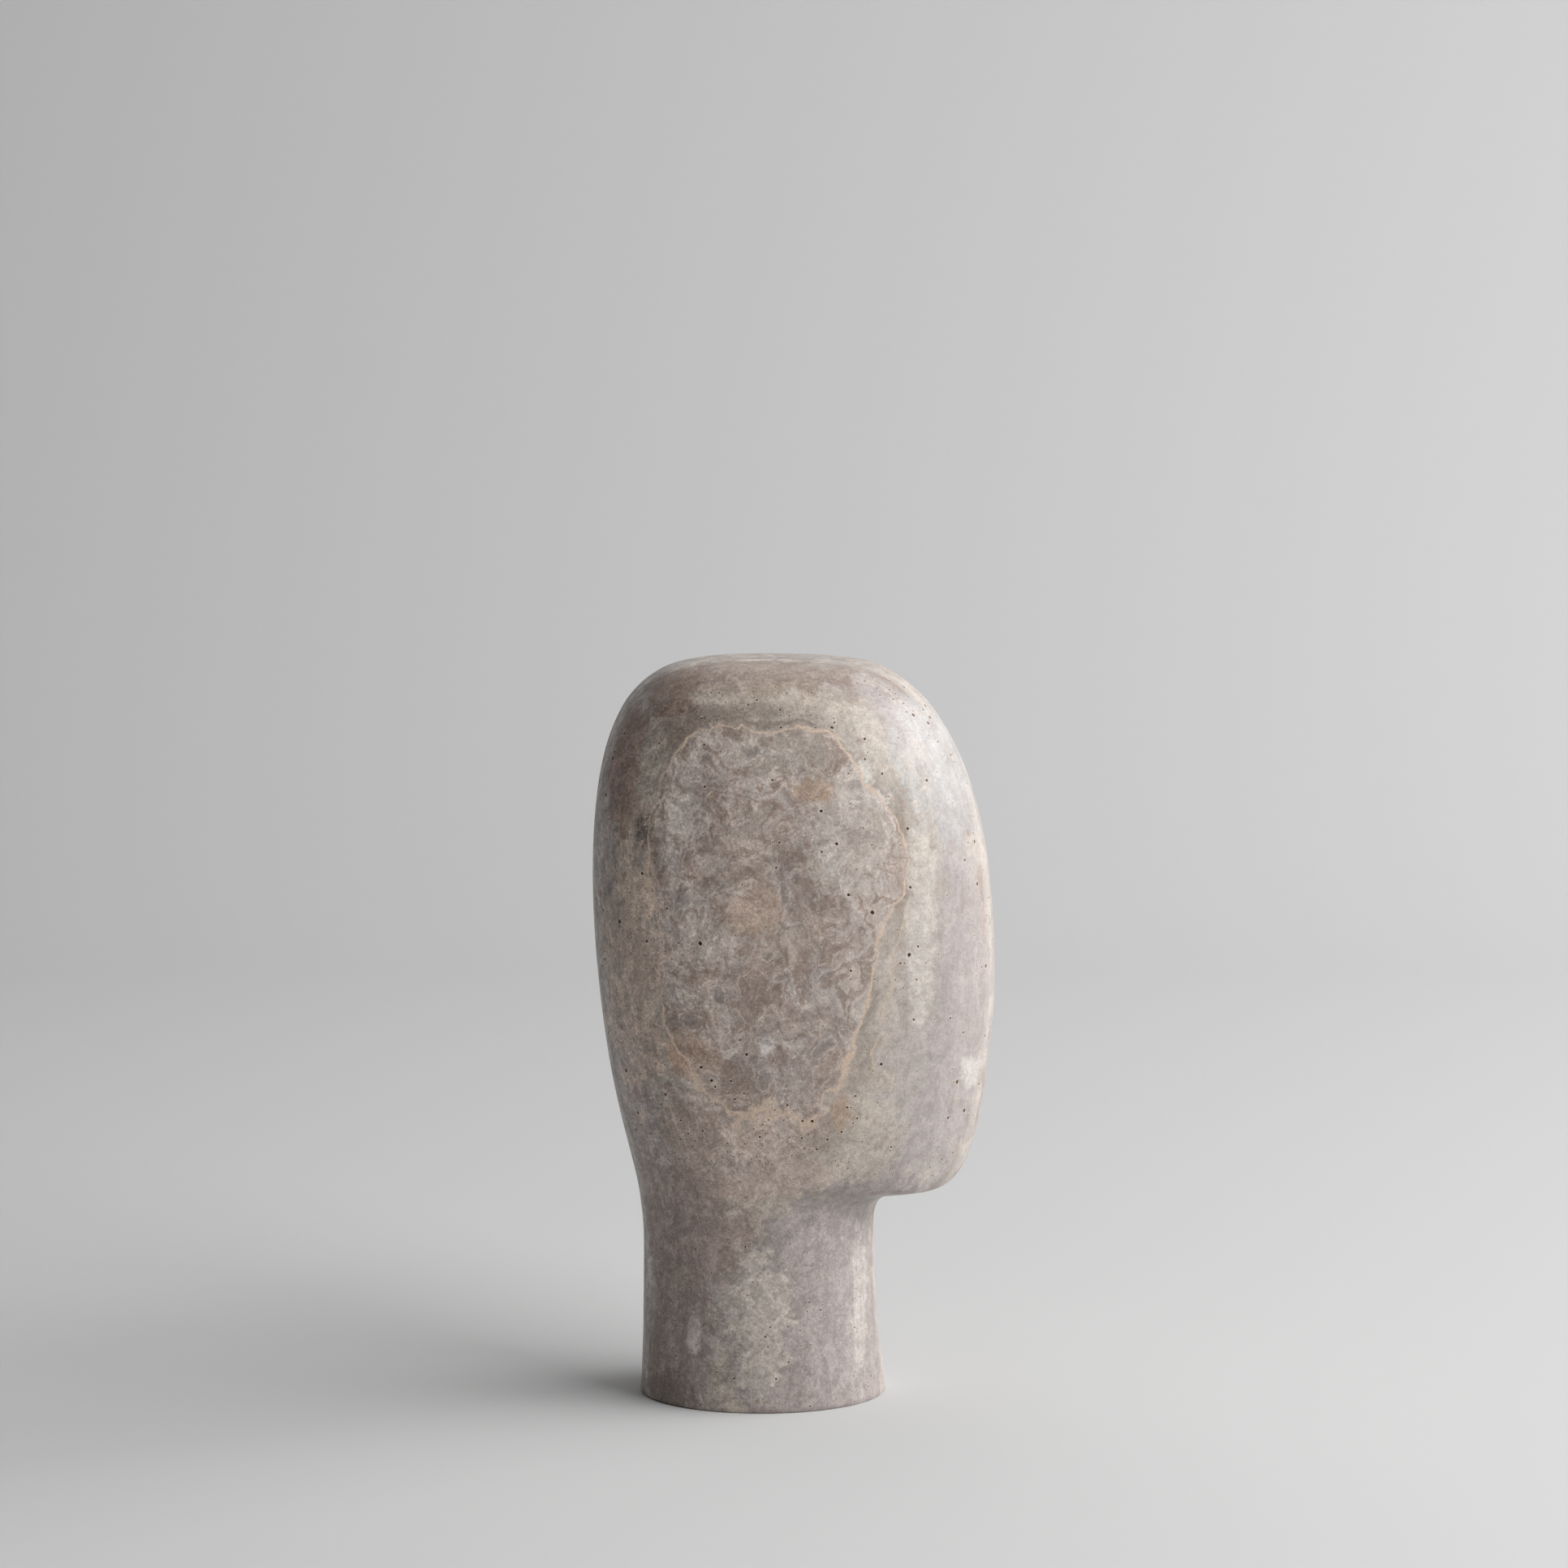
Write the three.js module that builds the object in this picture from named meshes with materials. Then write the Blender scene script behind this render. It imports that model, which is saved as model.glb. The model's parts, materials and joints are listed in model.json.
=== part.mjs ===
// A faceless head on its neck, carved from one block of travertine and honed smooth.
// Millimetres, +Z up. The origin is the centre of the flat underside, and the face looks towards -Y.
import * as THREE from 'three';

const crownHeight = 368.5;
const edgeBreak = 0.8;
const columns = 72;
const facetTurn = THREE.MathUtils.degToRad(8);
const leastSteps = 3;
const stoneColour = '#a89e97';

// The surface is lofted through these stations, from the underside to the crown.
// Each gives how far the face, the flank and the nape reach from the neck's axis, and how high,
// and how square the plan is in front and behind, where 2 is an ellipse and more is boxier.
const stations = [
  { name: 'foot', face: [61, 0], flank: [61, 0], nape: [61.5, 0], square: [2, 2] },
  { name: 'flare', face: [61, 8], flank: [60.5, 8], nape: [61, 8], square: [2, 2] },
  { name: 'low neck', face: [56.5, 32], flank: [57.5, 32], nape: [60, 32], square: [2, 2] },
  { name: 'neck', face: [56, 60], flank: [57, 58], nape: [60, 58], square: [2, 2] },
  { name: 'throat', face: [54.5, 86.5], flank: [56.5, 85], nape: [59.5, 80], square: [2, 2] },
  { name: 'throat corner', face: [56.5, 98], flank: [57.5, 100], nape: [61, 94], square: [2, 2.05] },
  { name: 'under the jaw', face: [67, 102.5], flank: [59.5, 106.5], nape: [62, 102], square: [2.05, 2.1] },
  { name: 'under the chin', face: [82.5, 102], flank: [61, 111], nape: [63.5, 110], square: [2.15, 2.15] },
  { name: 'chin', face: [95, 105], flank: [62.5, 117], nape: [66, 120], square: [2.2, 2.2] },
  { name: 'chin front', face: [105.5, 123], flank: [65, 132], nape: [70, 136], square: [2.2, 2.35] },
  { name: 'mouth', face: [111, 155], flank: [69.5, 160], nape: [76, 162], square: [2.2, 2.6] },
  { name: 'nose', face: [116.5, 200], flank: [73.5, 205], nape: [82, 205], square: [2.25, 2.75] },
  { name: 'eyes', face: [114.5, 250], flank: [75.5, 255], nape: [85.5, 255], square: [2.4, 2.8] },
  { name: 'forehead', face: [107.5, 300], flank: [75, 305], nape: [83.5, 305], square: [2.4, 2.75] },
  { name: 'hairline', face: [87.5, 345], flank: [69, 345], nape: [73.5, 345], square: [2.35, 2.6] },
  { name: 'crown edge', face: [56, crownHeight], flank: [50, crownHeight], nape: [47, crownHeight], square: [2.3, 2.4] },
  { name: 'crown', face: [37.5, crownHeight], flank: [20, crownHeight], nape: [20.5, crownHeight], square: [2.2, 2.2] },
  { name: 'crown centre', face: [0, crownHeight], flank: [0, crownHeight], nape: [0, crownHeight], square: [2, 2] },
];
const degree = 3;
const spans = stations.length - degree;

// The knots are uniform and clamped, so a meridian starts at the foot and ends at the crown's centre.
function knot(index) {
  return THREE.MathUtils.clamp(index - degree, 0, spans);
}

function splinePoint(points, along) {
  const span = Math.min(Math.floor(along), spans - 1) + degree;
  const near = [];
  for (let step = 0; step <= degree; step += 1) {
    near.push(points[span - degree + step].clone());
  }
  for (let round = 1; round <= degree; round += 1) {
    for (let step = degree; step >= round; step -= 1) {
      const low = knot(span - degree + step);
      const high = knot(span + 1 + step - round);
      near[step].lerpVectors(near[step - 1], near[step], (along - low) / (high - low));
    }
  }
  return near[degree];
}

// At each turn about the neck's axis the plan is a superellipse, which joins face, flank and nape.
function reachInPlan(lengthwise, sideways, forward, side, squareness) {
  if (lengthwise === 0 || sideways === 0) {
    return 0;
  }
  const sum = Math.abs(forward / lengthwise) ** squareness + Math.abs(side / sideways) ** squareness;
  return sum ** (-1 / squareness);
}

function meridian(turn) {
  const forward = Math.cos(turn);
  const side = Math.sin(turn);
  return stations.map((station) => {
    const [reach, height] = forward >= 0 ? station.face : station.nape;
    const squareness = forward >= 0 ? station.square[0] : station.square[1];
    const radius = reachInPlan(reach, station.flank[0], forward, side, squareness);
    const level = station.flank[1] + (height - station.flank[1]) * forward * forward;
    return new THREE.Vector3(radius * side, -radius * forward, level);
  });
}

// A span that turns sharply, as at the chin or the throat, takes more rings than a flat one.
function turnAcross(points, span) {
  const sampleGap = 0.02;
  const start = splinePoint(points, span + sampleGap).sub(splinePoint(points, span));
  const end = splinePoint(points, span + 1).sub(splinePoint(points, span + 1 - sampleGap));
  return start.angleTo(end);
}

function ringPlaces() {
  const guides = [0, Math.PI / 2, Math.PI].map(meridian);
  const places = [0];
  for (let span = 0; span < spans; span += 1) {
    const turn = Math.max(...guides.map((guide) => turnAcross(guide, span)));
    const steps = Math.max(leastSteps, Math.ceil(turn / facetTurn));
    for (let step = 1; step <= steps; step += 1) {
      places.push(span + step / steps);
    }
  }
  return places;
}

function headGeometry() {
  const places = ringPlaces();
  const meridians = [];
  for (let column = 0; column < columns; column += 1) {
    meridians.push(meridian((column / columns) * 2 * Math.PI));
  }
  const rings = places.slice(0, -1).map((along) => meridians.map((points) => splinePoint(points, along)));

  // The sawn underside meets the neck in a small chamfer.
  const footRing = rings[0].map((point) => point.clone().setLength(point.length() - edgeBreak));
  rings[0].forEach((point) => point.setZ(edgeBreak));
  rings.unshift(footRing);

  const vertices = rings.flat();
  const footCentre = vertices.push(new THREE.Vector3(0, 0, 0)) - 1;
  const crownCentre = vertices.push(new THREE.Vector3(0, 0, crownHeight)) - 1;
  const triangles = [];
  for (let column = 0; column < columns; column += 1) {
    const next = (column + 1) % columns;
    for (let ring = 0; ring < rings.length - 1; ring += 1) {
      const low = ring * columns;
      const high = low + columns;
      triangles.push(low + column, low + next, high + next);
      triangles.push(low + column, high + next, high + column);
    }
    const top = (rings.length - 1) * columns;
    triangles.push(footCentre, next, column);
    triangles.push(crownCentre, top + column, top + next);
  }
  const geometry = new THREE.BufferGeometry().setFromPoints(vertices);
  geometry.setIndex(triangles);
  geometry.computeVertexNormals();
  return geometry;
}

const stone = new THREE.MeshStandardMaterial({ color: stoneColour, roughness: 0.5, metalness: 0 });
const head = new THREE.Mesh(headGeometry(), stone);
head.name = 'stone_head';

const group = new THREE.Group();
group.add(head);
export default group;
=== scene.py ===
# A faceless travertine head on its neck, honed smooth, standing on a pale studio floor.
# Metres, +Z up. The face looks towards -Y, and the camera stands on the -X side.

import json
import math
import random

import bpy
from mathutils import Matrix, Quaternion, Vector, noise

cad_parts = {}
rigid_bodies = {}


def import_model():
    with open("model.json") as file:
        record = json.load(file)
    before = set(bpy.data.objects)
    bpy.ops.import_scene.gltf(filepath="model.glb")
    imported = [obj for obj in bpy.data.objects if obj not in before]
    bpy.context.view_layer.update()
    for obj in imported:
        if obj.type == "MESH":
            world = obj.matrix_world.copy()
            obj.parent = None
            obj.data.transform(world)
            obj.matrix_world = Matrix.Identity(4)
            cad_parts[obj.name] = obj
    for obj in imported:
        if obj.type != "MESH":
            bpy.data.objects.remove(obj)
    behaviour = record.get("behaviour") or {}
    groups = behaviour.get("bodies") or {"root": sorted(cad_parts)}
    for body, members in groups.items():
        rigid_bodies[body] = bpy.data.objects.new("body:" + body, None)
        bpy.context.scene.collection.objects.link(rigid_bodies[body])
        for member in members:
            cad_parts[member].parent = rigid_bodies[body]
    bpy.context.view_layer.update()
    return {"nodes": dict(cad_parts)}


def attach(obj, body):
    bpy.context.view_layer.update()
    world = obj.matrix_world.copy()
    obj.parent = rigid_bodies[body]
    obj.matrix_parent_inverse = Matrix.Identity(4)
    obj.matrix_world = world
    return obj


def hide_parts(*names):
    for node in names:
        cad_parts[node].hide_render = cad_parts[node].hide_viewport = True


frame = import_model()
mm = 0.001
print("frame loaded")


def hexToLinear(code):
    channels = [int(code[place:place + 2], 16) / 255 for place in (1, 3, 5)]
    return [c / 12.92 if c <= 0.04045 else ((c + 0.055) / 1.055) ** 2.4 for c in channels] + [1]


def addNode(tree, kind, inputs=None, **settings):
    node = tree.nodes.new(kind)
    for name, value in settings.items():
        setattr(node, name, value)
    for socket, value in (inputs or {}).items():
        if isinstance(value, bpy.types.NodeSocket):
            tree.links.new(value, node.inputs[socket])
        else:
            node.inputs[socket].default_value = value
    return node


# The carving

carving = {
    "node": "stone_head",
    "mergeGap": 0.01 * mm,
    "quadsUnder": 60,  # degrees between two triangles that may join into one face
    "quadsSkewed": 180,  # however skewed that face comes out
    "fineLevels": 2,
    "footBreakTop": 1.2 * mm,  # the small chamfer round the underside stays sharp
    "footBreakIn": 30 * mm,
    "rimAngle": 30,  # degrees: edges that turn more than this are shaded as edges
    "flank": 75.2,  # mm from the head's middle plane to each flank
}


def carveHead():
    bpy.ops.object.select_all(action="DESELECT")
    head = bpy.data.objects.new("carved_head", frame["nodes"][carving["node"]].data.copy())
    bpy.context.scene.collection.objects.link(head)
    bpy.context.view_layer.objects.active = head
    head.select_set(True)

    bpy.ops.object.mode_set(mode="EDIT")
    bpy.ops.mesh.select_all(action="SELECT")
    bpy.ops.mesh.remove_doubles(threshold=carving["mergeGap"])
    bpy.ops.mesh.tris_convert_to_quads(
        face_threshold=math.radians(carving["quadsUnder"]),
        shape_threshold=math.radians(carving["quadsSkewed"]),
    )
    bpy.ops.mesh.select_all(action="DESELECT")
    bpy.ops.object.mode_set(mode="OBJECT")
    for edge in head.data.edges:
        ends = [head.data.vertices[index].co for index in edge.vertices]
        low = all(end.z < carving["footBreakTop"] for end in ends)
        edge.select = low and all(end.xy.length > carving["footBreakIn"] for end in ends)
    bpy.ops.object.mode_set(mode="EDIT")
    bpy.ops.transform.edge_crease(value=1)
    bpy.ops.object.mode_set(mode="OBJECT")

    fine = head.modifiers.new("fine surface", "SUBSURF")
    fine.levels = fine.render_levels = carving["fineLevels"]
    bpy.ops.object.modifier_apply(modifier=fine.name)
    return head


# Open pores: this stone was honed without filling them

pores = {
    "seed": 19,
    "clearOfFoot": 2.5 * mm,
    "clearOfPole": 22 * mm,  # the crown's faces narrow to a point there
    "ragged": 0.22,  # how uneven a mouth is, as a share of its half mouth
    "drawnOut": 0.42,  # how long a mouth may grow, as a share of the room it has
    "profile": 0.12,  # of the bevel that opens a mouth
    "narrowing": 0.35,  # how much smaller the floor is than the mouth
    # how many, half the mouth and depth in mm, cuts round each corner, and how short the shortest edge
    # from a pore's place may be, as a share of its half mouth
    "kinds": [
        (32, 1.05, 1.4, 3, 1.6),
        (95, 0.78, 1.1, 3, 2.0),
        (300, 0.56, 0.8, 2, 2.2),
        (850, 0.4, 0.55, 2, 2.2),
    ],
    "porousBeds": [  # mm below the flank nearest the camera, from and to, and the chance of a pore
        (0, 9, 0.2), (9, 13, 1.0), (34, 50, 0.9), (62, 70, 0.5), (100, 118, 0.6), (136, 141, 1.0),
    ],
    "jaw": (-20, 60, 108, 180),  # along the head and in height, in mm: pores crowd here
    "inJaw": 0.9,
    "elsewhere": 0.4,
    "cluster": 14 * mm,  # pores come in groups of about this size
    "inCluster": 0.05,  # where noise of that size is above this
    "outsideClusters": 0.2,  # the share of the chance that is left between the groups
}


def poreChance(place):
    depth = place.x / mm + carving["flank"]
    inBed = [chance for low, high, chance in pores["porousBeds"] if low < depth < high]
    chance = inBed[0] if inBed else pores["elsewhere"]
    face, nape, low, high = pores["jaw"]
    if face < place.y / mm < nape and low < place.z / mm < high:
        chance = max(chance, pores["inJaw"])
    clustered = noise.noise(place / pores["cluster"]) > pores["inCluster"]
    return chance if clustered else chance * pores["outsideClusters"]


def surroundings(mesh):
    # each vertex's shortest edge and its neighbours
    shortest = [math.inf] * len(mesh.vertices)
    neighbours = [[] for vertex in mesh.vertices]
    for edge in mesh.edges:
        a, b = edge.vertices
        length = (mesh.vertices[a].co - mesh.vertices[b].co).length
        shortest[a] = min(shortest[a], length)
        shortest[b] = min(shortest[b], length)
        neighbours[a].append(b)
        neighbours[b].append(a)
    return shortest, neighbours


def choosePores(mesh, dice, count, shortestAllowed):
    shortest, neighbours = surroundings(mesh)
    chosen = []
    blocked = set()
    while len(chosen) < count:
        index = dice.randrange(len(mesh.vertices))
        place = mesh.vertices[index].co
        if index in blocked or place.z < pores["clearOfFoot"] or dice.random() > poreChance(place):
            continue
        if place.xy.length < pores["clearOfPole"] or shortest[index] < shortestAllowed:
            continue
        chosen.append(index)
        for near in neighbours[index]:  # the next pore keeps two faces away
            blocked.add(near)
            blocked.update(neighbours[near])
    return chosen


def openPores(head, dice, count, halfMouth, depth, cuts, clearance):
    mesh = head.data
    chosen = choosePores(mesh, dice, count, clearance * halfMouth)
    bpy.ops.object.mode_set(mode="EDIT")
    bpy.ops.mesh.select_mode(type="VERT")
    bpy.ops.mesh.select_all(action="DESELECT")
    bpy.ops.object.mode_set(mode="OBJECT")
    for index in chosen:
        mesh.vertices[index].select = True

    # A round mouth opens where the vertex was, and is then made uneven and a little drawn out
    bpy.ops.object.mode_set(mode="EDIT")
    bpy.ops.mesh.bevel(offset=halfMouth, segments=cuts, profile=pores["profile"], affect="VERTICES")
    bpy.ops.object.mode_set(mode="OBJECT")
    longest = 1 + pores["drawnOut"] * (clearance - 1)
    rims = mesh.attributes["poreRim"].data
    mouths = [(face, face.normal.copy(), face.center.copy()) for face in mesh.polygons if face.select]
    for face, outward, middle in mouths:
        lengthways = outward.orthogonal().normalized()
        lengthways.rotate(Quaternion(outward, dice.uniform(0, math.pi)))
        stretch = dice.uniform(1 / longest, longest) - 1
        for index in face.vertices:
            arm = mesh.vertices[index].co - middle
            uneven = 1 + dice.uniform(-pores["ragged"], pores["ragged"])
            mesh.vertices[index].co = middle + arm * uneven + arm.project(lengthways) * stretch
            rims[index].value = 1

    # The mouth sinks into the stone and narrows to its floor
    bpy.ops.object.mode_set(mode="EDIT")
    bpy.ops.mesh.select_mode(type="FACE")
    bpy.ops.mesh.extrude_region_shrink_fatten(TRANSFORM_OT_shrink_fatten={"value": -depth})
    bpy.ops.object.mode_set(mode="OBJECT")
    floors = [(face, face.center.copy()) for face in mesh.polygons if face.select]
    for face, middle in floors:
        for index in face.vertices:
            mesh.vertices[index].co = mesh.vertices[index].co.lerp(middle, pores["narrowing"])
    bpy.ops.object.mode_set(mode="EDIT")
    bpy.ops.mesh.select_more()  # the walls as well as the floors
    bpy.ops.object.mode_set(mode="OBJECT")
    # the walls and floors are marked to take painted shade
    poreShade = mesh.attributes["paintedPoreShade"].data
    for face in mesh.polygons:
        if face.select:
            poreShade[face.index].value = 1


def keepHonedShading(head, smooth):
    # the stone round the pores takes its normals from the surface before they were opened
    transfer = head.modifiers.new("honed shading", "DATA_TRANSFER")
    transfer.object = smooth
    transfer.use_loop_data = True
    transfer.data_types_loops = {"CUSTOM_NORMAL"}
    transfer.loop_mapping = "POLYINTERP_NEAREST"
    bpy.ops.object.modifier_apply(modifier=transfer.name)
    bpy.data.objects.remove(smooth)


head = carveHead()
# marks the walls and floors of the open pores, which take painted shade
head.data.attributes.new("paintedPoreShade", "FLOAT", "FACE")
head.data.attributes.new("poreRim", "FLOAT", "POINT")
print("head carved:", len(head.data.polygons), "faces")
smooth = bpy.data.objects.new("smooth_head", head.data.copy())
bpy.context.scene.collection.objects.link(smooth)
smooth.data.shade_smooth()
dice = random.Random(pores["seed"])
for count, halfMouth, depth, cuts, clearance in pores["kinds"]:
    openPores(head, dice, count, halfMouth * mm, depth * mm, cuts, clearance)
print("pores opened:", len(head.data.polygons), "faces")
bpy.ops.object.shade_smooth_by_angle(angle=math.radians(carving["rimAngle"]))
keepHonedShading(head, smooth)


# Travertine, honed: a dense limestone laid down in flat beds. Cuts that run along the beds show rings
# and clouds, and cuts that cross them show streaks. Honing leaves a soft sheen at grazing angles.
# Its crystals are finer than the render shows, so their grain is drawn about 1 mm wide

travertine = {
    "thickness": 150,  # mm, the block from flank to flank
    "beds": [  # mm below the flank nearest the camera, and the bed's colour
        (0, "#a99c94"), (5, "#b1a59c"), (8, "#a89c93"), (11, "#aca197"), (15, "#beb2a6"),
        (20, "#b4a99f"), (25, "#aca2a0"), (31, "#b0a6a3"), (37, "#b5aba5"), (42, "#b0a7a4"),
        (47, "#a4938a"), (50, "#b6aca5"), (57, "#c0b7ae"), (63, "#aba19d"), (70, "#bbb0a6"),
        (78, "#aea4a0"), (86, "#bfb4a9"), (93, "#aa9d96"), (101, "#b7ada8"), (109, "#aca29f"),
        (118, "#bdb1a5"), (126, "#b0a69f"), (133, "#b8ada2"), (139, "#a3978f"), (150, "#b0a49b"),
    ],
    "bedSinks": [  # along the head and up, in mm: there the beds lie this much deeper
        (-5, 340, -2), (-50, 315, -1.5), (-66, 280, 2.5), (-56, 230, -3), (-46, 186, -2.2),
        (-5, 156, -3.3), (26, 168, -1.2), (50, 235, -1.5), (55, 285, 0.5),
    ],
    "sinkReach": 42,
    "ring": (64.9, 66.0),  # mm from the block's middle plane: the flat of each flank lies beyond
    "veins": [  # mm below the flank, half its thickness, colour, and where it shows, if not all round
        (9.5, 0.26, "#d6bfab", None),
        (10.6, 0.5, "#8d8076", ((-66, 14, 346), (20, 48, 20))),
        (12.3, 0.26, "#c8b8a6", ((-64, -64, 208), (20, 22, 46))),
        (140.9, 0.26, "#cbb9a7", None),
    ],
    "veinSwells": (0.6, 2.0),  # how thin and how thick a vein runs, as shares of the thickness given
    "veinFoot": (230, 150, 1.3),  # from this height down to that, in mm, it grows so much thicker
    "veinStrength": 0.9,
    "folds": [  # the thin layers that wind over the flat of each flank, as shares of one fold
        (0.0, "#877469"), (0.2, "#927e72"), (0.25, "#a79589"), (0.265, "#ded2c8"), (0.28, "#bbaca3"),
        (0.4, "#a79690"), (0.43, "#89766b"), (0.445, "#ad9c95"), (0.57, "#bdb1ab"), (0.585, "#dcd1c9"),
        (0.6, "#cabeb6"), (0.7, "#d3c8c2"), (0.72, "#ad9a8e"), (0.84, "#9b877b"), (0.855, "#cfc1b6"),
        (1.0, "#cabdb5"),
    ],
    "foldStrengths": (0.6, 0.38, 0.22),  # under the patches, over them, and their finer crumbs
    "foldedJaw": ((-68, 16, 146), (22, 42, 28)),  # they crumble on below the ring, centre and reach in mm
    "thread": (0.5, 0.02),  # the place in a fold where a crystal thread runs, and half its width
    "patchEdge": 2.2,  # mm, how softly a patch fades out
    "softest": 0.3,  # but no softer than this share of the patch
    "torn": {"patches": 2.4, "foldedJaw": 1.2, "veins": 1.0, "porousPlaces": 1.6},  # how ragged edges are
    "patches": [  # colour, centre and reach in mm, strength, and how ragged its edge is
        ("#a08f83", (-75, 1, 256), (20, 34, 43), 0.6, 0.6),  # brown oval at the flank's widest point
        ("#87786f", (-75, 20, 266), (20, 9, 34), 0.7, 0.9),  # its darker rim, towards the nape
        ("#8b7c73", (-75, -21, 262), (20, 7, 30), 0.7, 0.9),  # and towards the face
        ("#c1a38d", (-75, 4, 252), (20, 12, 14), 0.95, 0.8),  # tan heart of the oval
        ("#d6cfc7", (-71, -42, 288), (20, 21, 32), 0.85, 0.9),  # pale cloud towards the brow
        ("#cdc5bc", (-72, 39, 300), (20, 9, 15), 0.6, 0.9),  # pale cloud towards the nape
        ("#cdc6bc", (-70, -8, 327), (20, 34, 9), 0.7, 0.9),  # pale cloud under the top of the ring
        ("#c3bab0", (-74, 28, 234), (20, 16, 12), 0.5, 1.0),  # and another low towards the nape
        ("#94857b", (-73, 19, 299), (20, 11, 25), 0.5, 0.9),  # brown between the oval and the nape's cloud
        ("#8f8079", (-71, 19, 188), (20, 9, 9), 0.6, 0.9),  # and low inside the ring
        ("#bc9a7a", (-72, -25, 309), (20, 10, 6), 0.95, 0.8),  # ochre spot
        ("#8c7f7a", (-70, -5, 168), (20, 24, 17), 0.75, 0.7),  # dark mauve above the ring's foot
        ("#9a8777", (-74, -8, 226), (20, 20, 8), 0.5, 1.0),  # brown smear under the oval
        ("#b39680", (-69, 34, 178), (20, 12, 13), 0.85, 1.0),  # tan porous patch
        ("#cab9af", (-68, 26, 150), (20, 15, 18), 0.6, 1.0),  # cream below it
        ("#c1a999", (-68, 4, 139), (20, 12, 8), 0.65, 1.0),  # tan lens under the ring's foot
        ("#c4a48a", (-64.5, -37.5, 151), (14, 5, 8), 0.5, 1.0),  # orange touch beside it
        ("#c8b9ac", (-68, -37, 172), (16, 14, 9), 0.5, 1.0),  # cream where the ring turns to the face
        ("#8f837b", (-66, 18, 347), (20, 26, 4), 0.55, 0.9),  # dark pitted band over the ring
        ("#84736a", (-60, 38, 340), (20, 12, 14), 0.6, 0.8),  # and on round it towards the nape
        ("#a08d7e", (-63, -67, 272), (14, 4, 32), 0.55, 1.0),  # porous brown where the ring runs out
        ("#b0afae", (-42, -92, 318), (40, 32, 40), 0.6, 0.6),  # grey-white brow
        ("#b3a89f", (-62, -76, 328), (20, 10, 18), 0.55, 0.9),  # beige between it and the ring
        ("#aea5a3", (-46, -88, 192), (40, 34, 80), 0.6, 0.6),  # mauve cheek
        ("#cfc7be", (-60, -77, 246), (16, 8, 48), 0.75, 0.9),  # cream down the cheek, beside the ring
        ("#c9bfb5", (-66, -61, 210), (16, 8, 24), 0.55, 0.9),  # and lower, between the veins
        ("#6f6561", (-62, 57, 287), (16, 5, 10), 1.0, 0.6),  # dark smudge behind the ring
        ("#d6c2af", (-63, 55, 264), (16, 3.5, 16), 0.95, 0.6),  # cream streak below it
        ("#d2bcad", (-50, 63, 222), (24, 18, 70), 0.65, 1.0),  # cream at the back of the flank
        ("#9d7f70", (-44, 66, 320), (14, 12, 46), 0.6, 0.7),  # red-brown streak behind the skull
        ("#9c897b", (-46, 16, 362), (26, 58, 10), 0.65, 0.8),  # brown at the crown's edge
        ("#856f60", (-46, 46, 360), (26, 20, 16), 0.6, 0.7),  # deeper at the back of it
        ("#bba79d", (-62, 20, 126), (24, 46, 22), 0.6, 0.8),  # beige jaw
        ("#c7b5ab", (-60, 2, 120), (24, 36, 13), 0.6, 0.5),  # paler along its lower edge
        ("#a09693", (-50, -52, 40), (40, 72, 77), 0.85, 0.15),  # mauve throat and neck, up to the jaw
        ("#a6938a", (-44, 46, 90), (30, 45, 38), 0.75, 0.4),  # grey-brown under the nape
        ("#9b8d84", (-38, 44, 34), (34, 22, 40), 0.65, 0.6),  # and down the back of the neck
        ("#cabfb5", (-57, 2, 46), (20, 15, 34), 0.75, 1.0),  # cream patch on the neck
        ("#cfc7c0", (-48, 34, 37), (14, 3.5, 9), 0.75, 0.6),  # pale scar on the neck
        ("#cdc5be", (-30, -48, 50), (10, 4, 40), 0.5, 0.9),  # pale streak down the throat
        ("#d2cbc5", (-31, -103, 166), (14, 7, 8), 0.7, 0.9),  # white patch at the face's edge
        ("#dcd8d4", (-71.5, -2, 184), (16, 3.5, 6), 1.0, 0.8),  # white nodule
        ("#8b8383", (-73, -25, 216), (16, 7, 8), 0.6, 0.9),  # grey nodule
        ("#8b8383", (-74, -12, 268), (16, 5, 9), 0.6, 0.9),  # another over it
        ("#776b63", (-38, 50, 6), (18, 18, 11), 0.55, 0.9),  # darker brown low on the neck at the foot, towards the nape
    ],
    "porous": [  # where the stone is crumbly and full of fine pits, as centre and reach in mm
        ((-66, 10, 138), (34, 54, 34)), ((-62, 30, 348), (30, 60, 9)), ((-58, 62, 250), (12, 9, 80)),
    ],
    "coats": {  # the colour and strength of what is laid over the beds
        "paleClouds": ("#c6bdb3", 0.5), "brownClouds": ("#9c8c81", 0.5), "threads": ("#d9d2cb", 0.75),
        "nodules": ("#8f8682", 0.5), "noduleSkins": ("#d2c9c0", 0.5), "brownSpots": ("#87776b", 0.35),
        "flecks": ("#dcd3ca", 0.5), "finePores": ("#5a4c41", 0.6), "finePoreRims": ("#d3c8bb", 0.2),
        "crumbEdges": ("#d3c3b4", 0.5), "crumbGaps": ("#7a685c", 0.5),
        "pits": ("#5d4d41", 0.6), "pitRims": ("#cfc1b0", 0.35),
        # openPores is the painted shade laid on the walls and floors of the open pores
        "openPoreRims": ("#d2c3b2", 0.45), "openPores": ("#6d5c4f", 0.9),
    },
    "clouds": {  # size in mm, where the noise starts and is full, seed, detail and its roughness
        "raggedEdges": (13, 0.0, 1.0, 5, 8, 0.72),
        "paleClouds": (26, 0.5, 0.6, 6, 5, 0.6),
        "brownClouds": (20, 0.53, 0.63, 7, 5, 0.6),
        "folds": ((7, 36, 36), 0.3, 0.7, 21, 6, 0.5),
        "foldCrumbs": ((5, 11, 11), 0.3, 0.7, 22, 5, 0.5),
        "threaded": (16, 0.5, 0.62, 25, 3, 0.6),
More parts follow.
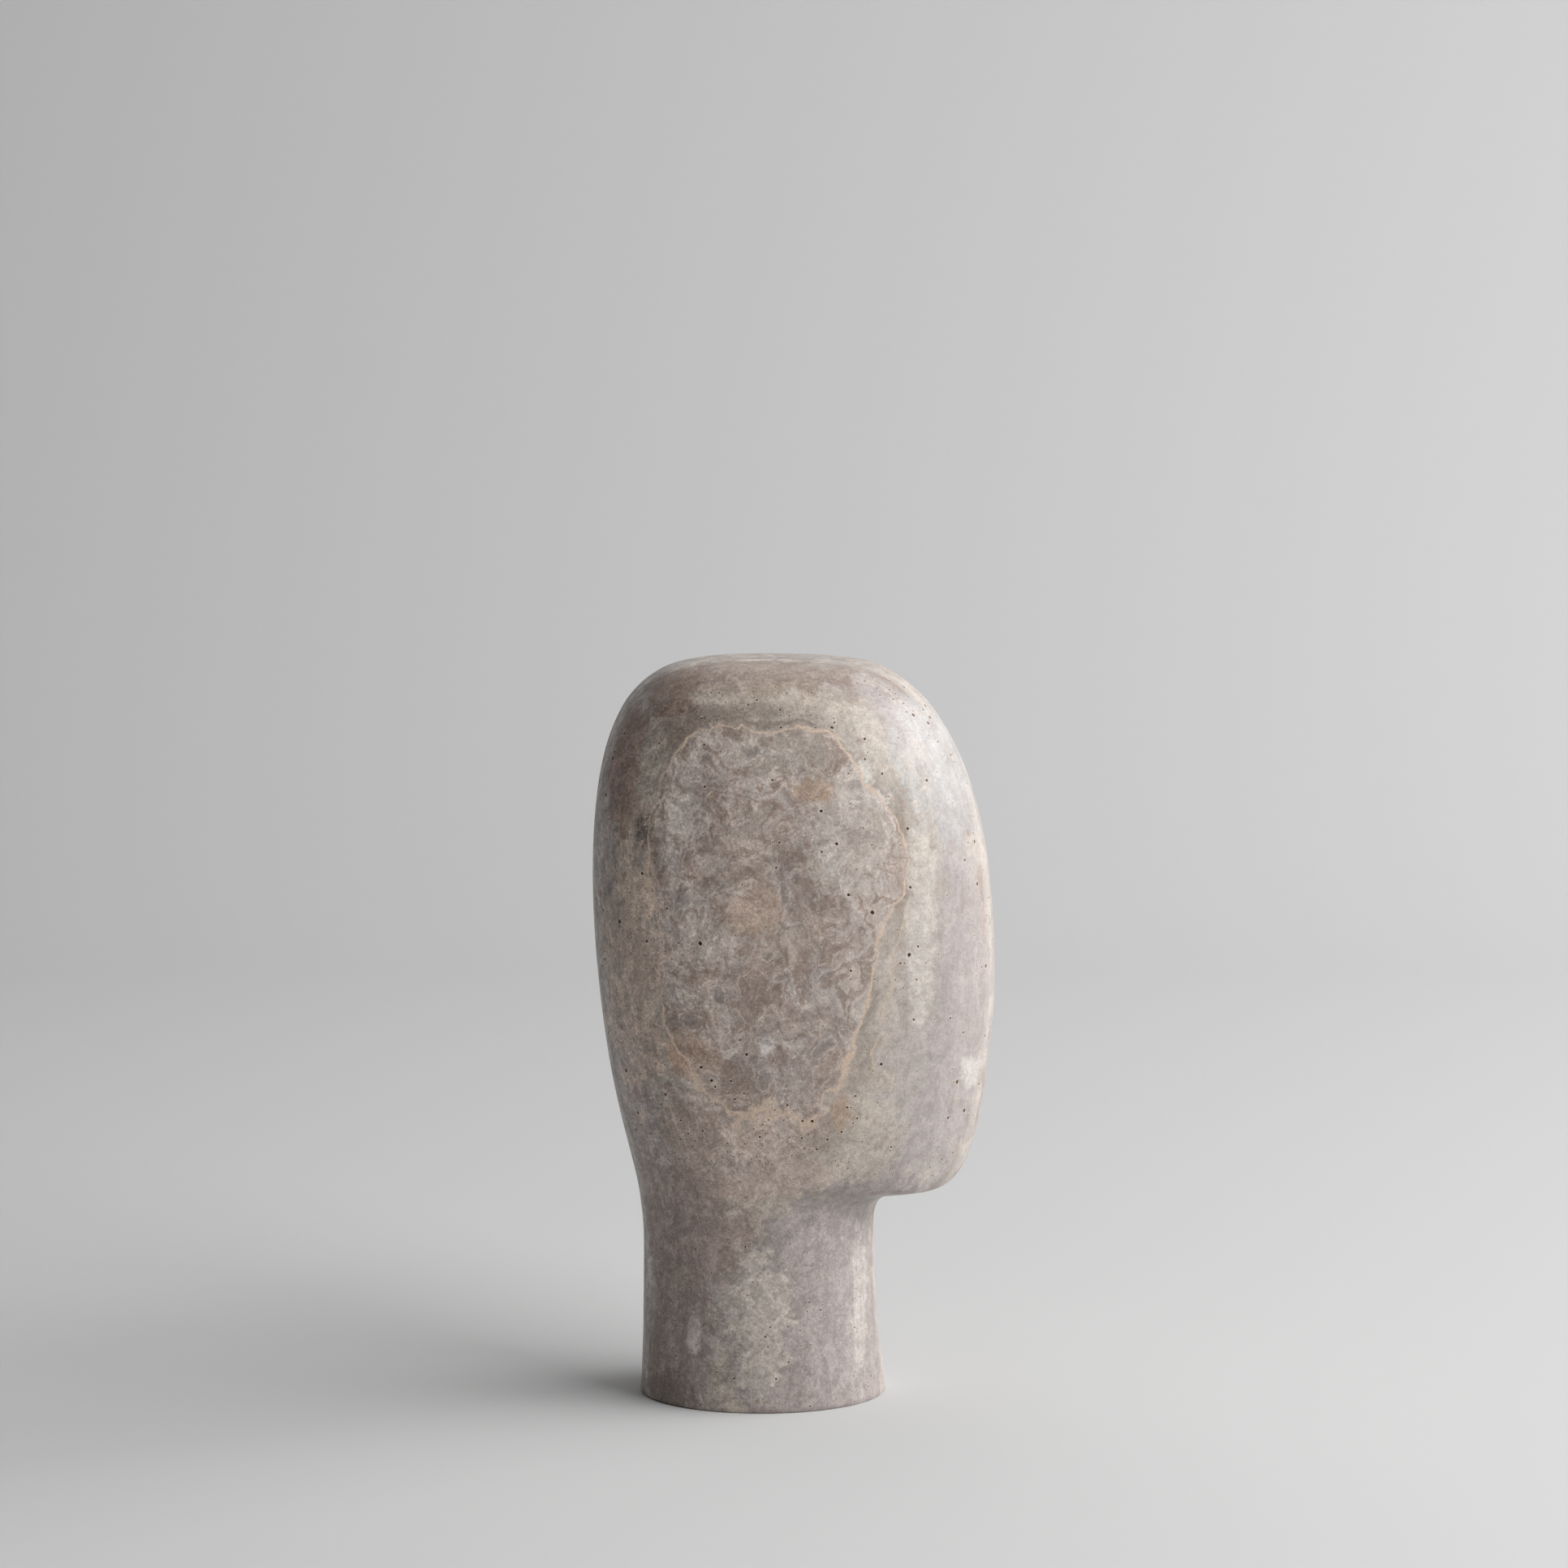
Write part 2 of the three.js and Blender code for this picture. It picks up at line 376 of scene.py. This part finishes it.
        "streaks": ((1.5, 22, 40), 0.35, 0.65, 9, 4, 0.6),
        "blotches": (10, 0.44, 0.56, 12, 7, 0.65),
        "brownSpots": (5, 0.55, 0.6, 19, 5, 0.7),
        "mottling": (3.2, 0.42, 0.58, 13, 4, 0.7),
        "swelling": (13, 0.35, 0.65, 11, 5, 0.6),
        "crystals": (1.1, 0.36, 0.64, 14, 2, 0.6),
        "crumble": (4.5, 0.3, 0.7, 24, 4, 0.6),
        "grain": (0.9, 0.2, 0.8, 17, 2, 0.6),
    },
    "shades": {  # how much darker and brighter each of these clouds makes the stone
        "streaks": 0.06, "blotches": 0.1, "mottling": 0.08, "crystals": 0.12,
    },
    "crumbEdge": (0.5, 0.07),  # where in the crumble it lies, and half its width
    "crumbGap": (0.6, 0.06),
    "specks": {  # size of the cells, radius and rim in mm, the share of cells with a speck, and seed
        "nodules": (15, 3.6, 0.6, 0.45, 10),
        "flecks": (2.8, 0.4, 0.1, 0.35, 15),
        "finePores": (3.3, 0.36, 0.2, 0.3, 16),
        "pits": (2.8, 0.42, 0.25, 0.4, 23),
    },
    "speckCore": 0.6,  # the share of a speck's radius that has its full colour
    "seedSteps": (7.3, 3.1, 5.7),  # cells to move for each seed
    "swirls": [(40, 1, 2), (8.5, 2, 2)],  # size in mm, seed and detail: slow ones and small ones
    "bedsMove": [(2, 7, 7), (1.2, 2.4, 2.4)],  # mm, how far each of them moves the beds
    "cloudsMove": [(9, 20, 20), (1.6, 3.4, 3.4)],  # and the clouds
    "tears": [(1.4, 3, 3)],  # the specks are torn by a finer one
    "specksMove": [(0.45, 0.45, 0.45)],
    "busy": (-95, 75, 0.55, 1.6),  # from face to nape, in mm, the stone goes from calm to busy
    "rimFades": (0.55, 0.95),  # from far to near, how close to an open pore its rim starts and is full
    "roughness": (0.37, 0.49),
    "ior": 1.5,
    "relief": {"strength": 0.3, "height": 0.09 * mm, "pore": -4.0},  # the fine pores' depth in heights
}


def scattered(tree, place, size, seed):
    # place counted in cells of that size in mm, moved far away for each seed
    sides = size if isinstance(size, tuple) else (size, size, size)
    return addNode(tree, "ShaderNodeVectorMath", {
        0: place, 1: [1 / side for side in sides], 2: [seed * step for step in travertine["seedSteps"]],
    }, operation="MULTIPLY_ADD").outputs[0]


def cloud(tree, place, name):
    # grows from 0 to 1 as noise rises from low to high
    size, low, high, seed, detail, roughness = travertine["clouds"][name]
    texture = addNode(tree, "ShaderNodeTexNoise", {
        "Vector": scattered(tree, place, size, seed), "Scale": 1, "Detail": detail, "Roughness": roughness,
    })
    return addNode(tree, "ShaderNodeMapRange", {
        "Value": texture.outputs[0], "From Min": low, "From Max": high,
    }, interpolation_type="SMOOTHSTEP").outputs[0]


def swirl(tree, place, size, seed, detail):
    # a direction that turns slowly from place to place
    texture = addNode(tree, "ShaderNodeTexNoise", {
        "Vector": scattered(tree, place, size, seed), "Scale": 1, "Detail": detail,
    })
    return addNode(tree, "ShaderNodeVectorMath", {
        0: texture.outputs[1], 1: (0.5, 0.5, 0.5),
    }, operation="SUBTRACT").outputs[0]


def stirred(tree, place, swirls, reaches):
    # place, moved by each swirl as far as its reach in mm
    for turn, reach in zip(swirls, reaches):
        place = addNode(tree, "ShaderNodeVectorMath", {
            0: turn, 1: [2 * side for side in reach], 2: place,
        }, operation="MULTIPLY_ADD").outputs[0]
    return place


def band(tree, value, middle, halfWidth):
    # 1 where value is at middle, falling to 0 at halfWidth away
    away = addNode(tree, "ShaderNodeMath", {0: value, 1: middle}, operation="SUBTRACT")
    size = addNode(tree, "ShaderNodeMath", {0: away.outputs[0]}, operation="ABSOLUTE")
    return addNode(tree, "ShaderNodeMapRange", {
        "Value": size.outputs[0], "From Min": halfWidth, "From Max": 0.0,
    }, interpolation_type="SMOOTHSTEP").outputs[0]


def overlap(tree, *masks):
    # where all of the masks meet
    meeting = masks[0]
    for mask in masks[1:]:
        meeting = addNode(tree, "ShaderNodeMath", {0: meeting, 1: mask}, operation="MULTIPLY").outputs[0]
    return meeting


def patchMask(tree, place, edge, centre, reach, ragged):
    # 1 inside an ellipsoid whose edge is torn by the edge noise
    away = addNode(tree, "ShaderNodeVectorMath", {0: place, 1: centre}, operation="SUBTRACT")
    share = addNode(tree, "ShaderNodeVectorMath", {0: away.outputs[0], 1: reach}, operation="DIVIDE")
    far = addNode(tree, "ShaderNodeVectorMath", {0: share.outputs[0]}, operation="LENGTH")
    torn = addNode(tree, "ShaderNodeMath", {
        0: edge, 1: ragged, 2: far.outputs["Value"],
    }, operation="MULTIPLY_ADD")
    softness = min(travertine["softest"], travertine["patchEdge"] / min(reach[1:]))
    return addNode(tree, "ShaderNodeMapRange", {
        "Value": torn.outputs[0], "From Min": 1 + softness, "From Max": 1 - softness,
    }, interpolation_type="SMOOTHSTEP").outputs[0]


def paint(tree, under, coat, mask):
    # lays a coat, which is a colour and a strength, where the mask is 1
    colour, strength = coat
    over = hexToLinear(colour) if isinstance(colour, str) else colour
    share = addNode(tree, "ShaderNodeMath", {0: mask, 1: strength}, operation="MULTIPLY")
    mix = addNode(tree, "ShaderNodeMix", {0: share.outputs[0], 6: under, 7: over}, data_type="RGBA")
    return mix.outputs[2]


def shade(tree, colour, place, name, busy):
    # darkens the colour where that cloud is thin and brightens it where it is thick
    swing = travertine["shades"][name]
    change = addNode(tree, "ShaderNodeMapRange", {
        "Value": cloud(tree, place, name), "To Min": -swing, "To Max": swing,
    })
    factor = addNode(tree, "ShaderNodeMath", {
        0: change.outputs[0], 1: busy, 2: 1.0,
    }, operation="MULTIPLY_ADD")
    return addNode(tree, "ShaderNodeVectorMath", {
        0: colour, "Scale": factor.outputs[0],
    }, operation="SCALE").outputs[0]


def specks(tree, place, name):
    # a round speck in some of the cells, and the thin rim round it
    size, radius, rim, share, seed = travertine["specks"][name]
    grid = addNode(tree, "ShaderNodeTexVoronoi", {"Vector": scattered(tree, place, size, seed), "Scale": 1})
    lot = addNode(tree, "ShaderNodeSeparateColor", {0: grid.outputs["Color"]})
    drawn = addNode(tree, "ShaderNodeMath", {0: lot.outputs[0], 1: share}, operation="LESS_THAN")
    core = addNode(tree, "ShaderNodeMapRange", {
        "Value": grid.outputs["Distance"],
        "From Min": radius / size, "From Max": travertine["speckCore"] * radius / size,
    })
    edge = band(tree, grid.outputs["Distance"], (radius + rim) / size, rim / size)
    return overlap(tree, core.outputs[0], drawn.outputs[0]), overlap(tree, edge, drawn.outputs[0])


def bedDepth(tree, place):
    # how far a place lies below the flank nearest the camera, measured through the wavy beds
    axes = addNode(tree, "ShaderNodeSeparateXYZ", {0: place})
    depth = addNode(tree, "ShaderNodeMath", {
        0: axes.outputs[0], 1: carving["flank"],
    }, operation="ADD").outputs[0]
    flat = addNode(tree, "ShaderNodeCombineXYZ", {1: axes.outputs[1], 2: axes.outputs[2]})
    for along, height, sink in travertine["bedSinks"]:
        away = addNode(tree, "ShaderNodeVectorMath", {
            0: flat.outputs[0], 1: (0, along, height),
        }, operation="DISTANCE")
        dent = addNode(tree, "ShaderNodeMapRange", {
            "Value": away.outputs["Value"], "From Min": 0.0, "From Max": travertine["sinkReach"],
            "To Min": -sink, "To Max": 0.0,
        }, interpolation_type="SMOOTHSTEP")
        depth = addNode(tree, "ShaderNodeMath", {0: depth, 1: dent.outputs[0]}, operation="ADD").outputs[0]
    return depth


def layered(tree, value, thickness, layers):
    # the colour of the layer that value falls in, across layers of that thickness in all
    share = addNode(tree, "ShaderNodeMath", {0: value, 1: thickness}, operation="DIVIDE")
    ramp = addNode(tree, "ShaderNodeValToRGB", {0: share.outputs[0]})
    stops = ramp.color_ramp.elements
    for index, (start, colour) in enumerate(layers):
        stop = stops[index] if index < 2 else stops.new(start / thickness)  # a ramp starts with two
        stop.position = start / thickness
        stop.color = hexToLinear(colour)
    return ramp.outputs[0]


def insideRings(tree, depth):
    # 1 on the flat of each flank, inside the vein that rings it
    low, high = travertine["ring"]
    away = addNode(tree, "ShaderNodeMath", {0: depth, 1: travertine["thickness"] / 2}, operation="SUBTRACT")
    size = addNode(tree, "ShaderNodeMath", {0: away.outputs[0]}, operation="ABSOLUTE")
    return addNode(tree, "ShaderNodeMapRange", {
        "Value": size.outputs[0], "From Min": low, "From Max": high,
    }, interpolation_type="SMOOTHSTEP").outputs[0]


def honedTravertine():
    material = bpy.data.materials.new("honed travertine")
    material.use_nodes = True
    tree = material.node_tree
    shader = tree.nodes["Principled BSDF"]
    coats = travertine["coats"]
    torn = travertine["torn"]
    coordinates = addNode(tree, "ShaderNodeTexCoord")
    place = addNode(tree, "ShaderNodeVectorMath", {
        0: coordinates.outputs["Object"], "Scale": 1 / mm,
    }, operation="SCALE").outputs[0]
    axes = addNode(tree, "ShaderNodeSeparateXYZ", {0: place})

    # The stone settled in slow swirls, which bend the beds a little and the clouds a lot
    swirls = [swirl(tree, place, *row) for row in travertine["swirls"]]
    wavy = stirred(tree, place, swirls, travertine["bedsMove"])
    swirled = stirred(tree, place, swirls, travertine["cloudsMove"])
    edge = addNode(tree, "ShaderNodeMath", {
        0: cloud(tree, place, "raggedEdges"), 1: 0.5,
    }, operation="SUBTRACT").outputs[0]
    depth = bedDepth(tree, wavy)
    inside = insideRings(tree, depth)
    colour = layered(tree, depth, travertine["thickness"], travertine["beds"])

    face, nape, calm, restless = travertine["busy"]
    busy = addNode(tree, "ShaderNodeMapRange", {
        "Value": axes.outputs[1], "From Min": face, "From Max": nape, "To Min": calm, "To Max": restless,
    }).outputs[0]

    # Broad clouds of pale and brown stone
    for name in ("paleClouds", "brownClouds"):
        colour = paint(tree, colour, coats[name], cloud(tree, swirled, name))

    # Inside the rings the thin layers lie almost along the cut, so they show as winding bands with
    # pale crystal threads between them. Elsewhere the cut crosses them and they show as fine streaks
    under, over, crumbled = travertine["foldStrengths"]
    folds = cloud(tree, swirled, "folds")
    foldColours = layered(tree, folds, 1.0, travertine["folds"])
    jaw = patchMask(tree, place, edge, *travertine["foldedJaw"], torn["foldedJaw"])
    folded = addNode(tree, "ShaderNodeMath", {0: inside, 1: jaw}, operation="MAXIMUM").outputs[0]
    colour = paint(tree, colour, (foldColours, under), folded)
    for patchColour, centre, reach, strength, ragged in travertine["patches"]:
        mask = patchMask(tree, place, edge, centre, reach, torn["patches"] * ragged)
        colour = paint(tree, colour, (patchColour, strength), mask)
    colour = paint(tree, colour, (foldColours, over), folded)
    crumbColours = layered(tree, cloud(tree, swirled, "foldCrumbs"), 1.0, travertine["folds"])
    colour = paint(tree, colour, (crumbColours, crumbled), folded)
    threads = band(tree, folds, *travertine["thread"])
    threads = overlap(tree, threads, cloud(tree, place, "threaded"), inside)
    colour = paint(tree, colour, coats["threads"], threads)
    colour = shade(tree, colour, wavy, "streaks", busy)

    # Round nodules with a grey heart and a pale skin
    hearts, skins = specks(tree, swirled, "nodules")
    colour = paint(tree, colour, coats["nodules"], overlap(tree, inside, hearts))
    colour = paint(tree, colour, coats["noduleSkins"], overlap(tree, inside, skins))

    # Mottling: brown and pale blotches, and the same again finer
    colour = shade(tree, colour, swirled, "blotches", busy)
    spots = cloud(tree, place, "brownSpots")
    colour = paint(tree, colour, coats["brownSpots"], overlap(tree, spots, busy))
    colour = shade(tree, colour, place, "mottling", busy)

    # Cream veins and a dark seam follow one bed each, thin at the top and thicker lower down
    swelling = cloud(tree, place, "swelling")
    top, foot, thickest = travertine["veinFoot"]
    thickened = addNode(tree, "ShaderNodeMapRange", {
        "Value": axes.outputs[2], "From Min": top, "From Max": foot, "To Min": 1.0, "To Max": thickest,
    }).outputs[0]
    thin, thick = travertine["veinSwells"]
    for veinDepth, halfWidth, veinColour, where in travertine["veins"]:
        width = addNode(tree, "ShaderNodeMapRange", {
            "Value": swelling, "To Min": thin * halfWidth, "To Max": thick * halfWidth,
        }).outputs[0]
        mask = band(tree, depth, veinDepth, overlap(tree, width, thickened))
        if where:
            mask = overlap(tree, mask, patchMask(tree, place, edge, *where, torn["veins"]))
        colour = paint(tree, colour, (veinColour, travertine["veinStrength"]), mask)

    # Crystal grain, pale flecks and fine pores
    colour = shade(tree, colour, place, "crystals", busy)
    tears = [swirl(tree, place, *row) for row in travertine["tears"]]
    ragged = stirred(tree, place, tears, travertine["specksMove"])
    flecks = specks(tree, ragged, "flecks")[0]
    colour = paint(tree, colour, coats["flecks"], flecks)
    finePores, finePoreRims = specks(tree, ragged, "finePores")
    colour = paint(tree, colour, coats["finePoreRims"], finePoreRims)
    colour = paint(tree, colour, coats["finePores"], finePores)

    # Crumbly places, with pale crumbs, dark gaps and pits
    pits, pitRims = specks(tree, ragged, "pits")
    crumble = cloud(tree, ragged, "crumble")
    crumbs = {
        "crumbEdges": band(tree, crumble, *travertine["crumbEdge"]),
        "crumbGaps": band(tree, crumble, *travertine["crumbGap"]),
        "pitRims": pitRims,
        "pits": pits,
    }
    for centre, reach in travertine["porous"]:
        here = patchMask(tree, place, edge, centre, reach, torn["porousPlaces"])
        for name, mask in crumbs.items():
            colour = paint(tree, colour, coats[name], overlap(tree, mask, here))

    # The open pores: a pale rim, and painted shade on the walls and the floor
    nearRim = addNode(tree, "ShaderNodeAttribute", attribute_name="poreRim").outputs["Fac"]
    far, near = travertine["rimFades"]
    rims = addNode(tree, "ShaderNodeMapRange", {
        "Value": nearRim, "From Min": far, "From Max": near,
    }, interpolation_type="SMOOTHSTEP").outputs[0]
    colour = paint(tree, colour, coats["openPoreRims"], rims)
    poreShade = addNode(tree, "ShaderNodeAttribute", attribute_name="paintedPoreShade").outputs["Fac"]
    # painted shade on the walls and floors of the open pores
    colour = paint(tree, colour, coats["openPores"], poreShade)

    # The honing left some beds a little smoother than others, and the painted shade in the open pores is
    # matt
    smoothest, roughest = travertine["roughness"]
    honed = addNode(tree, "ShaderNodeMapRange", {
        "Value": swelling, "To Min": smoothest, "To Max": roughest,
    })
    rough = addNode(tree, "ShaderNodeMath", {0: honed.outputs[0], 1: poreShade}, operation="MAXIMUM")
    relief = travertine["relief"]
    height = addNode(tree, "ShaderNodeMath", {
        0: finePores, 1: relief["pore"], 2: cloud(tree, place, "grain"),
    }, operation="MULTIPLY_ADD")
    bump = addNode(tree, "ShaderNodeBump", {
        "Height": height.outputs[0], "Strength": relief["strength"], "Distance": relief["height"],
    })
    tree.links.new(colour, shader.inputs["Base Color"])
    tree.links.new(rough.outputs[0], shader.inputs["Roughness"])
    tree.links.new(bump.outputs[0], shader.inputs["Normal"])
    shader.inputs["IOR"].default_value = travertine["ior"]
    return material


head.data.materials.clear()
head.data.materials.append(honedTravertine())
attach(head, "root")
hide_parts("stone_head")
print("stone finished")


# The studio: a seamless paper sweep, tall windows on the face's side, a soft fill and an overhead panel

studio = {
    "floorReach": 3.2,
    "wallAt": 2.6,
    "wallHeight": 3.0,
    "sweepRadius": 1.0,
    "sweepSteps": 16,
    "paper": "#cfcfcf",
    "paperRoughness": 0.9,
    "paperGloss": 0.1,
    "aim": (0, 0, 0.2),
    "world": 0.07,
    # name, degrees round from the camera towards the face, degrees up, distance, size and watts
    "lights": [
        ("low_window", 90, 20, 4.2, (3.2, 1.6), 60),
        ("far_window", 105, 30, 4.2, (3.2, 2.0), 91),
        ("fill", 55, 35, 3.2, (2.4, 2.0), 74),
    ],
    "overhead": {"at": (0.6, 0.3, 2.7), "aim": (0.6, 0.3, 0), "size": (3, 2), "watts": 14},
}


def hangPaper():
    # a flat floor, a quarter turn upwards and a wall, in one strip
    bpy.ops.object.select_all(action="DESELECT")
    reach = studio["floorReach"]
    wall, radius, top = studio["wallAt"], studio["sweepRadius"], studio["wallHeight"]
    profile = [(-reach, 0), (wall - radius, 0)]
    for step in range(1, studio["sweepSteps"] + 1):
        turn = math.radians(90) * step / studio["sweepSteps"]
        profile.append((wall - radius + radius * math.sin(turn), radius - radius * math.cos(turn)))
    profile.append((wall, top))
    corners = [(x, side * reach, z) for x, z in profile for side in (-1, 1)]
    strips = [(2 * i, 2 * i + 2, 2 * i + 3, 2 * i + 1) for i in range(len(profile) - 1)]
    mesh = bpy.data.meshes.new("paper_sweep")
    mesh.from_pydata(corners, [], strips)
    paper = bpy.data.objects.new("paper_sweep", mesh)
    bpy.context.scene.collection.objects.link(paper)
    mesh.shade_smooth()

    # matt paper takes soft shadows and shows hardly any highlight
    material = bpy.data.materials.new("matt backdrop paper")
    material.use_nodes = True
    shader = material.node_tree.nodes["Principled BSDF"]
    shader.inputs["Base Color"].default_value = hexToLinear(studio["paper"])
    shader.inputs["Roughness"].default_value = studio["paperRoughness"]
    shader.inputs["Specular IOR Level"].default_value = studio["paperGloss"]
    mesh.materials.append(material)


def hangLight(name, at, aim, size, watts):
    light = bpy.data.lights.new(name, "AREA")
    light.shape = "RECTANGLE"
    light.size, light.size_y = size
    light.energy = watts
    lamp = bpy.data.objects.new(name, light)
    bpy.context.scene.collection.objects.link(lamp)
    lamp.location = at
    lamp.rotation_euler = (Vector(aim) - Vector(at)).to_track_quat("-Z", "Y").to_euler()


hangPaper()
for name, around, height, distance, size, watts in studio["lights"]:
    turn, rise = math.radians(around), math.radians(height)
    level = Vector((-math.cos(turn), -math.sin(turn), 0)) * math.cos(rise)
    direction = level + Vector((0, 0, math.sin(rise)))
    hangLight(name, Vector(studio["aim"]) + direction * distance, studio["aim"], size, watts)
panel = studio["overhead"]
hangLight("overhead_panel", panel["at"], panel["aim"], panel["size"], panel["watts"])
world = bpy.data.worlds.new("studio")
world.use_nodes = True
glow = world.node_tree.nodes["Background"]
glow.inputs["Color"].default_value = (1, 1, 1, 1)
glow.inputs["Strength"].default_value = studio["world"]
bpy.context.scene.world = world
bpy.context.scene.view_settings.view_transform = "Standard"
bpy.context.scene.view_settings.look = "None"
print("studio lit")


# The camera: long lens, a little above the jaw, square on to the flank

camera = {
    "at": (-2.8063, -0.01038, 0.5814),
    "pitchDown": 5.63,
    "lens": 130.43,
    "sensor": 36,
}

view = bpy.data.cameras.new("photo_camera")
view.lens = camera["lens"]
view.sensor_width = camera["sensor"]
eye = bpy.data.objects.new("photo_camera", view)
bpy.context.scene.collection.objects.link(eye)
eye.location = camera["at"]
eye.rotation_euler = (math.radians(90 - camera["pitchDown"]), 0, math.radians(-90))
bpy.context.scene.camera = eye

print("camera placed")
